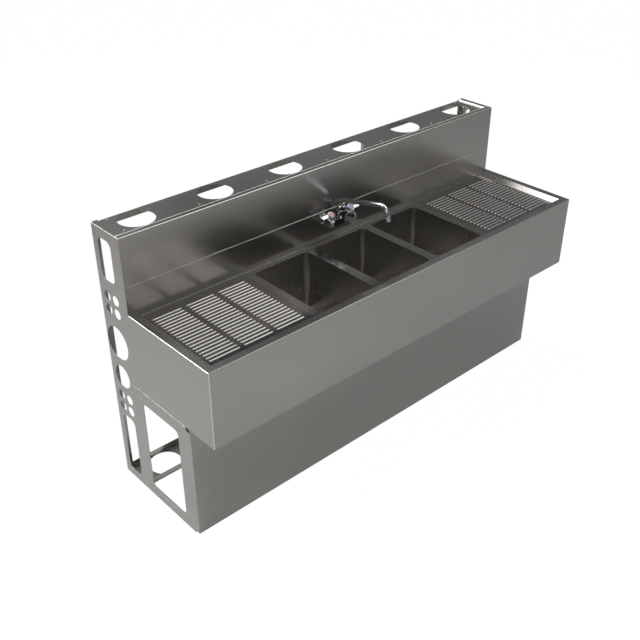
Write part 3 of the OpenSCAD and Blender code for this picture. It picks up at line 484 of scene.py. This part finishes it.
def round_folds(piece, radius, least_width=LEAST_FLANGE, where=None):
    """Gives the sheet's outer bends their radius. Bends picked by place may run right to the edge."""
    corners = piece.data.vertices
    bends = outward_bends(piece.data, least_width)
    if where:
        bends = {key for key in bends if where((corners[key[0]].co + corners[key[1]].co) / 2)}
    if not bends:
        return
    clear_picks(piece, "EDGE")
    for edge in piece.data.edges:
        edge.select = tuple(sorted(edge.vertices)) in bends
    bpy.ops.object.mode_set(mode="EDIT")
    bpy.ops.mesh.bevel(offset=radius, offset_type="OFFSET", segments=FOLD_SEGMENTS, profile=0.5,
                       affect="EDGES", clamp_overlap=where is None)
    done()


def apply_modifier(piece, kind, **settings):
    only(piece)
    modifier = piece.modifiers.new(kind.lower(), kind)
    for key, value in settings.items():
        setattr(modifier, key, value)
    bpy.ops.object.modifier_apply(modifier=modifier.name)


def soften(piece, width=BROKEN_EDGE, smooth=SMOOTH_ANGLE):
    """Breaks the sharp edges, then shades the piece smooth up to an angle."""
    if width:
        apply_modifier(piece, "BEVEL", width=width, segments=EDGE_SEGMENTS, limit_method="ANGLE",
                       angle_limit=math.radians(SHARP_ANGLE), use_clamp_overlap=True)
    only(piece)
    bpy.ops.object.shade_smooth_by_angle(angle=math.radians(smooth))
    apply_modifier(piece, "WEIGHTED_NORMAL", mode="FACE_AREA", weight=50, keep_sharp=True)


def settle(piece, material, slot, body, *replaced):
    piece.data.materials.clear()
    piece.data.materials.append(material)
    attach(piece, body)
    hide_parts(*replaced)


def folded(name, source, material, fold=0, where=None, rolled=None):
    """A finished copy of a folded sheet: bends rounded, edges broken, shaded smooth. where keeps the
    rounding to some bends, and rolled picks the one edge that is rounded as far as the sheet is thick."""
    piece = merged_copy(name, source)
    flatten(piece)
    if rolled:
        round_folds(piece, LEDGE_ROLL, LEAST_LEDGE_FLANGE, rolled)
    if fold:
        round_folds(piece, fold, where=where)
    soften(piece)
    settle(piece, material, SHEET, "sink_frame", source)


def formed(name, source, material, slot, body="sink_frame", edge=BROKEN_EDGE, smooth=SMOOTH_ANGLE):
    """A finished copy of a drawn, turned, cast or moulded node: edges broken, shaded smooth."""
    piece = merged_copy(name, source)
    soften(piece, edge, smooth)
    settle(piece, material, slot, body, source)


# Sheet metal


def drop_mitres(piece):
    """Takes out the faces where the front and the side aprons meet inside the metal."""
    clear_picks(piece, "FACE")
    for face in piece.data.polygons:
        middle, normal = face.center, face.normal
        on_mitre = abs((abs(left_end) - abs(middle.x)) - (middle.y - front_face)) < 0.05 * MM
        slanted = abs(abs(normal.x) - abs(normal.y)) < 0.01 and abs(normal.z) < 0.01
        face.select = on_mitre and slanted
    bpy.ops.object.mode_set(mode="EDIT")
    bpy.ops.mesh.delete(type="FACE")
    done()
    merge_corners(piece, 0.05 * MM)


def make_rim_and_apron():
    """One piece for the front and the two side aprons, as they are welded."""
    sources = ("front_apron", "side_apron_left", "side_apron_right")
    lengths = [merged_copy(f"{source}_length", source) for source in sources]
    for length in lengths:
        flatten(length)
    piece = joined("rim_and_apron", lengths)
    drop_mitres(piece)
    low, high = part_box("front_apron")
    outer = on_planes((0, low.x), (0, high.x), (1, low.y), (2, low.z), (2, high.z))
    round_folds(piece, TIGHT_FOLD, where=outer)
    soften(piece, 0.2 * MM)
    settle(piece, rim_steel, SHEET, "sink_frame", *sources)


def make_end(side):
    """End panel, chase upright, drainboard and deck channel of one end."""
    folded(f"end_panel_{side}_sheet", f"end_panel_{side}", panel_steel, fold=WIDE_FOLD)
    folded(f"chase_upright_{side}_sheet", f"chase_upright_{side}", sheet_z)
    formed(f"drainboard_{side}_sheet", f"drainboard_{side}", board_steel, SHEET, edge=0, smooth=22)
    folded(f"deck_channel_{side}_sheet", f"deck_channel_{side}", sheet_y, fold=TIGHT_FOLD)


def make_splash():
    folded("splash_upper_sheet", "splash_upper", ledge_steel, fold=WIDE_FOLD,
           rolled=on_planes((1, ledge_edge), (2, ledge_top)))
    folded("splash_lower_sheet", "splash_lower", foot_steel, fold=TIGHT_FOLD,
           where=on_planes((1, splash_face), (2, seam_height)))


make_rim_and_apron()
for side in ("left", "right"):
    make_end(side)
make_splash()
folded("chase_cap_sheet", "chase_cap", sheet_x, fold=WIDE_FOLD)
folded("chase_floor_sheet", "chase_floor", sheet_x)
folded("bowl_deck_sheet", "bowl_deck", deck_steel)
folded("skirt_sheet", "skirt_panel", sheet_x, fold=TIGHT_FOLD)
folded("skirt_bracket_angles", "skirt_brackets", sheet_z)
for place in ("left", "middle", "right"):
    formed(f"bowl_{place}_shell", f"bowl_{place}", bowl_steel, SHEET, edge=0.3 * MM, smooth=30)

# Drains

for place in ("left", "middle", "right"):
    formed(f"drain_flange_{place}_turned", f"drain_flange_{place}", fitting_steel, FITTINGS)
    formed(f"strainer_{place}_plate", f"strainer_{place}", fitting_steel, FITTINGS,
           body=f"strainer_lift_{place}")
    formed(f"tailpiece_{place}_tube", f"tailpiece_{place}", chrome, CHROME)
formed("drain_gasket_rings", "drain_gaskets", rubber, RUBBER)
formed("drain_locknuts_lugged", "drain_locknuts", brass, BRASS_PARTS)
formed("drain_slip_nuts_faceted", "drain_slip_nuts", brass, BRASS_PARTS)

# Cap screws and faucet


def make_valve(heat):
    """Wall flange, shank, bonnet and cartridge of one inlet, and the stem, lever and screw that turn."""
    turning = f"{heat}_valve"
    formed(f"wall_flange_{heat}_plate", f"wall_flange_{heat}", chrome, CHROME)
    formed(f"inlet_shank_{heat}_thread", f"inlet_shank_{heat}", brass, BRASS_PARTS)
    formed(f"bonnet_{heat}_nut", f"bonnet_{heat}", chrome, CHROME, edge=0.6 * MM)
    formed(f"cartridge_{heat}_sleeve", f"cartridge_{heat}", sleeve_plastic, "cartridge_plastic")
    formed(f"stem_{heat}_turned", f"stem_{heat}", brass, BRASS_PARTS, body=turning)
    formed(f"lever_{heat}_handle", f"lever_{heat}", chrome, CHROME, body=turning,
           edge=1.2 * MM, smooth=40)
    formed(f"lever_screw_{heat}_head", f"lever_screw_{heat}", fitting_steel, FITTINGS, body=turning)


def make_index_button(heat, tint, slot):
    low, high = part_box(f"index_{heat}")
    enamel = index_enamel(f"index_enamel_{heat}", tint, (low + high) / 2)
    formed(f"index_{heat}_button", f"index_{heat}", enamel, slot, body=f"{heat}_valve")


formed("cap_screw_heads", "cap_screws", fitting_steel, FITTINGS)
formed("faucet_casting", "faucet_body", chrome, CHROME, edge=1.4 * MM, smooth=40)
for heat in ("hot", "cold"):
    make_valve(heat)
make_index_button("hot", INDEX_RED, "hot_red")
make_index_button("cold", INDEX_BLUE, "cold_blue")
formed("shank_washer_rings", "shank_washers", fitting_steel, FITTINGS)
formed("shank_locknut_hexes", "shank_locknuts", brass, BRASS_PARTS)
formed("spout_tube", "spout", chrome, CHROME, body="spout_arm", edge=0.3 * MM, smooth=40)
formed("spout_nut_facets", "spout_nut", chrome, CHROME, edge=0.6 * MM, smooth=20)
formed("spout_seal_ring", "spout_seal", rubber, RUBBER, body="spout_arm", edge=0)
formed("aerator_shell", "aerator", chrome, CHROME, body="spout_arm")

# Studio


def add_camera():
    data = bpy.data.cameras.new("studio_camera")
    data.lens = LENS_MM
    data.sensor_width = SENSOR_WIDTH_MM
    data.clip_start = NEAREST_SEEN
    camera = bpy.data.objects.new("studio_camera", data)
    camera.location = CAMERA_PLACE
    camera.rotation_euler = CAMERA_FORWARD.to_track_quat("-Z", "Y").to_euler()
    bpy.context.scene.collection.objects.link(camera)
    bpy.context.scene.camera = camera


def add_world():
    """White to the camera, a plain grey room in the reflections."""
    world = bpy.data.worlds.new("studio_sky")
    bpy.context.scene.world = world
    sky = Finish(world)
    rays = sky.node("ShaderNodeLightPath", output="Is Camera Ray")
    seen = rays | rays.output("Is Transmission Ray")
    room = sky.node("ShaderNodeBackground", None, {"Color": grey(1), "Strength": ROOM_LEVEL})
    white = sky.node("ShaderNodeBackground", None, {"Color": grey(1)})
    sky.surface(sky.node("ShaderNodeMixShader", None, {0: seen, 1: room, 2: white}),
                "ShaderNodeOutputWorld")


def add_floor():
    """A pale floor that takes the sink's shadow. It is near white to the camera and dim in reflections."""
    bpy.ops.mesh.primitive_plane_add(size=FLOOR_SIZE, location=(0, 0, 0))
    floor = bpy.context.object
    floor.name = "studio_floor"
    finish = new_finish("pale_floor")
    paint = finish.node("ShaderNodeBsdfDiffuse", None, {"Color": grey(FLOOR_PAINT)})
    glow = finish.node("ShaderNodeEmission", None, {"Color": grey(1), "Strength": FLOOR_GLOW})
    rays = finish.node("ShaderNodeLightPath", output="Is Camera Ray")
    share = (FLOOR_GLOW_SEEN * rays
             + FLOOR_GLOW_REFLECTED * rays.output("Is Glossy Ray")
             + FLOOR_GLOW_SEEN * rays.output("Is Transmission Ray"))
    mixed = finish.node("ShaderNodeMixShader", None, {0: share, 1: paint, 2: glow})
    floor.data.materials.append(finish.surface(mixed))


def add_card(name, middle, size, strength):
    """A glowing card that shows in reflections alone."""
    bpy.ops.mesh.primitive_plane_add(size=1, location=(0, 0, 0))
    card = bpy.context.object
    card.name = name
    aim = CARD_TARGET - Vector(middle)
    turn = aim.to_track_quat("Z", "Y").to_matrix().to_4x4()
    card.data.transform(Matrix.Translation(middle) @ turn @ Matrix.Diagonal((*size, 1, 1)))
    card.visible_camera = False
    card.visible_shadow = False
    card.visible_diffuse = False
    finish = new_finish(name)
    glow = finish.node("ShaderNodeEmission", None, {"Color": grey(strength)})
    card.data.materials.append(finish.surface(glow))


def add_lamp(name, middle, target, size, radiance):
    data = bpy.data.lights.new(name, "AREA")
    data.shape = "RECTANGLE"
    data.size, data.size_y = size
    data.energy = radiance * math.pi * size[0] * size[1]
    lamp = bpy.data.objects.new(name, data)
    lamp.location = middle
    aim = Vector(target) - Vector(middle)
    lamp.rotation_euler = aim.to_track_quat("-Z", "Y").to_euler()
    bpy.context.scene.collection.objects.link(lamp)


add_camera()
add_world()
add_floor()
for card in CARDS:
    add_card(*card)
for lamp in LAMPS:
    add_lamp(*lamp)
bpy.context.scene.view_settings.view_transform = "Standard"
